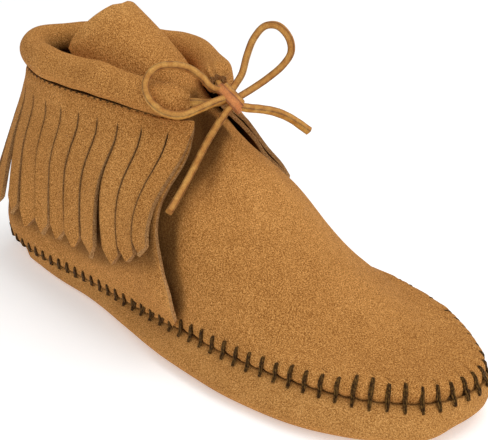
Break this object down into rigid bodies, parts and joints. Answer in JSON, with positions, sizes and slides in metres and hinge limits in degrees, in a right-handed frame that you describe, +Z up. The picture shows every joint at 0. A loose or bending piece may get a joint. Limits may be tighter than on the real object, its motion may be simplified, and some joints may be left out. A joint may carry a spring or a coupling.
{
  "type": "moccasin boot",
  "caption": "Soft-soled suede ankle boot, right shoe: puckered vamp with tongue, lapped quarter, rolled collar, fringe round the heel and a thong bow.",
  "frame": {"origin": "on the floor, in the middle of the flat of the heel", "axes": "+X towards the toe, +Z up, -Y towards the wearer's outer side of this right shoe"},
  "size_m": [0.2565, 0.0985, 0.1299],
  "materials": {
    "suede": "soft nap, golden tan",
    "sole_suede": "soft nap, golden tan",
    "lining": "worn flesh side, brown",
    "thong": "cut leather lace, orange tan"
  },
  "bodies": {
    "root": {"sole": "sole_suede", "insole": "lining", "upper": "suede", "collar_roll": "suede", "fringe": "suede", "thong_lead_left": "thong", "thong_lead_right": "thong", "thong_loop_left": "thong", "thong_loop_right": "thong", "thong_end_left": "thong", "thong_end_right": "thong", "thong_knot": "thong"}
  },
  "joints": []
}
